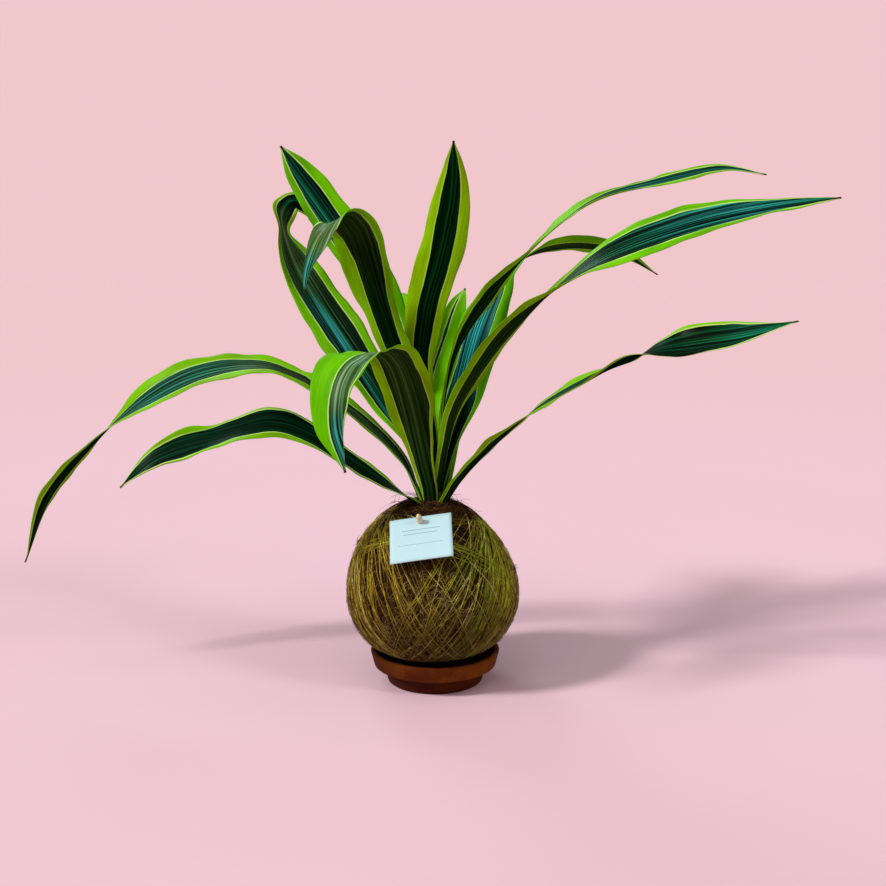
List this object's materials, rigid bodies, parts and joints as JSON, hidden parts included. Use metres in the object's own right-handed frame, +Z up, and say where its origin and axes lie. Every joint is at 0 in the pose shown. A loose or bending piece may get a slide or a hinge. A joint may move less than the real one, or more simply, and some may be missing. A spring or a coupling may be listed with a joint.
{
  "type": "potted plant",
  "caption": "Ball-rooted houseplant: long arching striped leaves rise from a thread-bound coir ball that rests in a round clay saucer, with a small card pegged to it.",
  "frame": {"origin": "centre of the saucer's flat foot, on the surface it stands on", "axes": "+Z up, +X to the right and -Y towards the viewer who faces the card"},
  "size_m": [0.5886, 0.3114, 0.4106],
  "materials": {
    "terracotta": "matte",
    "soil": "matte",
    "coir": "matte",
    "thread": "satin",
    "cane": "matte",
    "leaf": "satin",
    "card": "matte",
    "peg": "matte"
  },
  "bodies": {
    "root": {"saucer": "terracotta", "soil_ball": "soil", "coir_wrap": "coir", "binding_thread": "thread", "stem": "cane", "leaf_low_left": "leaf", "leaf_low_right": "leaf", "leaf_front": "leaf", "leaf_long_left": "leaf", "leaf_back_right": "leaf", "leaf_back_left": "leaf", "leaf_broad_right": "leaf", "leaf_small_back": "leaf", "leaf_arched_right": "leaf", "leaf_broad_left": "leaf", "leaf_high_right": "leaf", "leaf_nodding": "leaf", "leaf_upper_left": "leaf", "leaf_upright": "leaf", "label_card": "card", "label_peg": "peg"}
  },
  "joints": []
}
